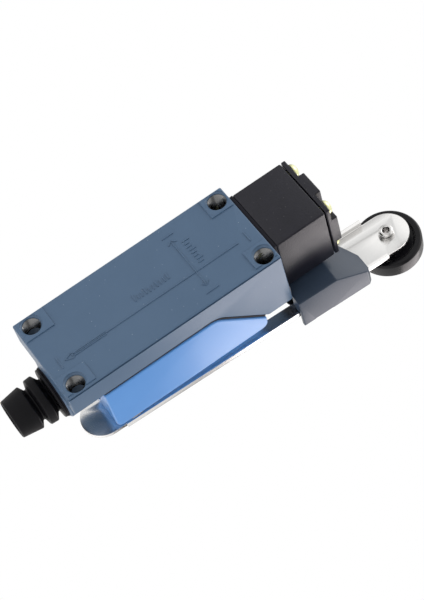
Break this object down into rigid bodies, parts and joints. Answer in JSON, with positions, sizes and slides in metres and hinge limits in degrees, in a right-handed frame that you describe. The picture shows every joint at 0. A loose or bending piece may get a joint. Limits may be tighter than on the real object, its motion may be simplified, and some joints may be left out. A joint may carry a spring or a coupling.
{
  "type": "limit switch",
  "caption": "Adjustable roller lever limit switch: die-cast body, deep cover, rotary head, slotted lever strip with a roller, and a rubber cable gland.",
  "frame": {"origin": "centre of the four mounting holes, on the flat back face of the body", "axes": "+Z towards the head, +Y out of the back mounting face, X across the body"},
  "size_m": [0.031, 0.0366, 0.1167],
  "materials": {
    "grey_paint": "satin blue-grey enamel over die-cast metal",
    "blue_plastic": "satin moulded blue",
    "black_plastic": "fine-grained moulded black",
    "brown_plastic": "moulded phenolic",
    "smoke_plastic": "smoky gloss",
    "red_plastic": "gloss",
    "black_rubber": "soft sheen",
    "steel": "polished stainless",
    "dark_steel": "black oxide",
    "yellow_zinc": "yellow zinc plated",
    "brass": "satin",
    "bronze": "satin",
    "spring_wire": "drawn wire",
    "black_nylon": "satin nylon"
  },
  "bodies": {
    "body": {"block_screw_1": "steel", "block_screw_2": "steel", "cable_grip": "black_rubber", "contact_spring": "spring_wire", "cover": "blue_plastic", "cover_gasket": "black_rubber", "cover_screw_1": "steel", "cover_screw_2": "steel", "gland_body": "black_plastic", "gland_washer": "black_rubber", "ground_screw": "brass", "ground_washer": "brass", "head_cap": "black_plastic", "head_gasket": "black_rubber", "head_housing": "black_plastic", "head_screw_1": "yellow_zinc", "head_screw_2": "yellow_zinc", "head_screw_3": "yellow_zinc", "head_screw_4": "yellow_zinc", "housing": "grey_paint", "shaft_bush": "bronze", "shaft_seal": "black_rubber", "switch_base": "brown_plastic", "switch_window": "smoke_plastic", "terminal_1": "brass", "terminal_2": "brass", "terminal_3": "brass", "terminal_4": "brass", "terminal_screw_1": "steel", "terminal_screw_2": "steel", "terminal_screw_3": "steel", "terminal_screw_4": "steel"},
    "shaft_set": {"shaft": "steel", "cam": "dark_steel", "return_spring": "spring_wire"},
    "clamp_set": {"lever_clamp": "grey_paint", "clamp_screw": "dark_steel", "strip_bolt": "yellow_zinc", "strip_washer": "dark_steel"},
    "arm": {"lever_strip": "steel", "roller_rivet": "steel", "roller_washer": "steel", "roller_bush": "steel"},
    "roller_wheel": {"roller": "black_nylon"},
    "plunger_rod": {"plunger": "steel"},
    "button": {"switch_button": "red_plastic"},
    "bridge": {"contact_bridge": "brass"}
  },
  "joints": [
    {"name": "shaft_turn", "type": "hinge", "parent": "body", "child": "shaft_set", "pos_m": [0, -0.01, 0.04], "axis": [0, 1, 0], "range_deg": [-45, 45], "stiffness_Nm_per_rad": 0.25},
    {"name": "lever_setting", "type": "hinge", "parent": "shaft_set", "child": "clamp_set", "pos_m": [0, -0.0237, 0.04], "axis": [0, 1, 0], "range_deg": [0, 90]},
    {"name": "strip_setting", "type": "slide", "parent": "clamp_set", "child": "arm", "axis": [-0.0332, 0, 0.9995], "range_m": [-0.001, 0.048]},
    {"name": "roller_spin", "type": "hinge", "parent": "arm", "child": "roller_wheel", "pos_m": [-0.00837, -0.0332, 0.06313], "axis": [0, 1, 0], "continuous": true},
    {"name": "plunger_press", "type": "slide", "parent": "body", "child": "plunger_rod", "axis": [0, 0, -1], "range_m": [0, 0.0012], "stiffness_N_per_m": 600, "springref_m": -0.001},
    {"name": "button_press", "type": "slide", "parent": "body", "child": "button", "axis": [0, 0, -1], "range_m": [0, 0.0012]},
    {"name": "bridge_press", "type": "slide", "parent": "body", "child": "bridge", "axis": [0, 0, -1], "range_m": [0, 0.0012], "deforming": ["contact_spring"]}
  ],
  "couplings": [
    {"joint": "button_press", "follows": "plunger_press", "ratio": 1},
    {"joint": "bridge_press", "follows": "plunger_press", "ratio": 1}
  ]
}
